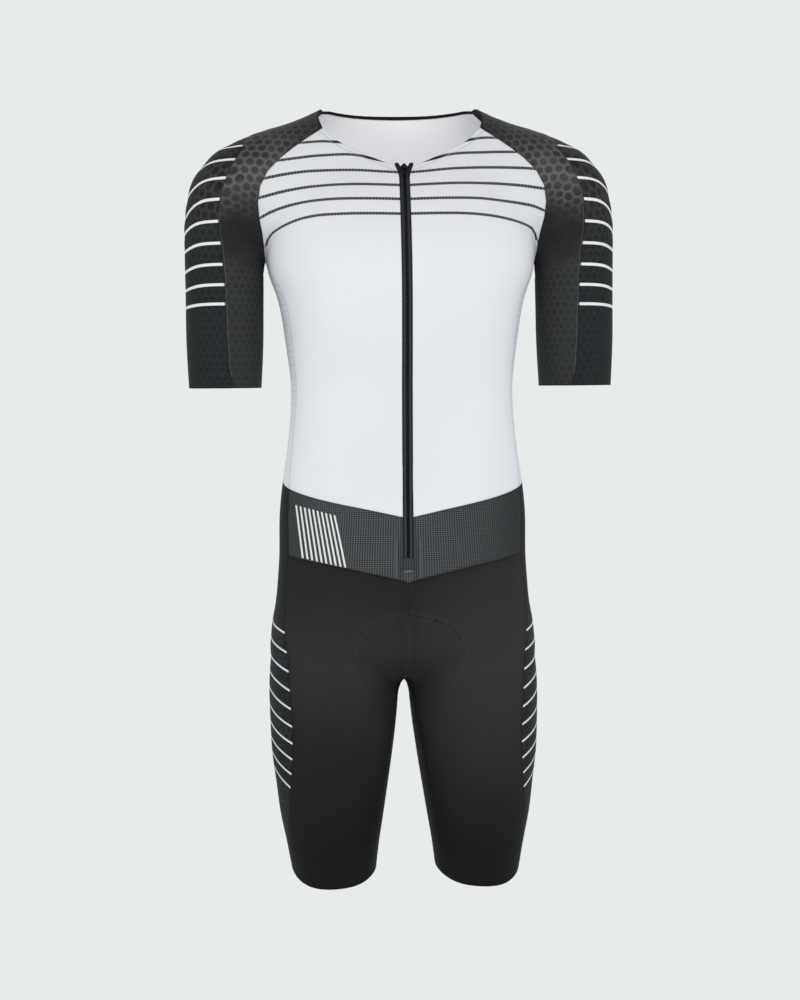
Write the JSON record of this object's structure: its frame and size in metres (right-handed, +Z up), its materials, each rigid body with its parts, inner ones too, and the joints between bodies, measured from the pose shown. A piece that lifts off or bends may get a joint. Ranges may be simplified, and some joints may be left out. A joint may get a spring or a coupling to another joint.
{
  "type": "triathlon suit",
  "caption": "Short-sleeved one-piece sports suit with thigh-length legs, raglan sleeves, a front zip and a seat pad, hollow and filled out as worn.",
  "frame": {"origin": "between the wearer's shoulders, level with the two points where the neckline meets the shoulders", "axes": "+Z up, -Y out of the wearer's chest, +X to the wearer's left"},
  "size_m": [0.5132, 0.2551, 0.9237],
  "materials": {
    "white_cloth": "smooth, slightly satin knit",
    "white_perforated_cloth": "perforated knit",
    "white_hem": "turned hem",
    "black_dotted_cloth": "printed knit",
    "black_striped_cloth": "printed knit",
    "black_cloth": "matt knit",
    "grey_checked_cloth": "printed knit",
    "black_zip_tape": "woven tape",
    "black_zip_teeth": "satin",
    "black_slider": "satin",
    "grey_pad": "brushed pad cover"
  },
  "bodies": {
    "suit": {"front_left": "white_cloth", "front_right": "white_cloth", "back": "white_cloth", "side_left": "white_perforated_cloth", "side_right": "white_perforated_cloth", "neck_band_left": "white_hem", "neck_band_right": "white_hem", "sleeve_front_left": "black_dotted_cloth", "sleeve_front_right": "black_dotted_cloth", "sleeve_back_left": "black_dotted_cloth", "sleeve_back_right": "black_dotted_cloth", "sleeve_outer_left": "black_striped_cloth", "sleeve_outer_right": "black_striped_cloth", "leg_side_left": "black_striped_cloth", "leg_side_right": "black_striped_cloth", "neck_binding": "black_cloth", "shorts_front_left": "black_cloth", "shorts_front_right": "black_cloth", "shorts_back_left": "black_cloth", "shorts_back_right": "black_cloth", "leg_inner_left": "black_cloth", "leg_inner_right": "black_cloth", "belt_left": "grey_checked_cloth", "belt_right": "grey_checked_cloth", "belt_back": "grey_checked_cloth", "zip_end": "grey_checked_cloth", "zip_tape_left": "black_zip_tape", "zip_tape_right": "black_zip_tape", "zip_teeth": "black_zip_teeth", "zip_slider": "black_slider", "seat_pad": "grey_pad"},
    "pull_tab": {"pull_tab": "black_slider"}
  },
  "joints": [
    {"name": "pull_tab_hinge", "type": "hinge", "parent": "suit", "child": "pull_tab", "pos_m": [0, -0.09012, -0.07697], "axis": [-1, 0, 0], "range_deg": [0, 165]}
  ]
}
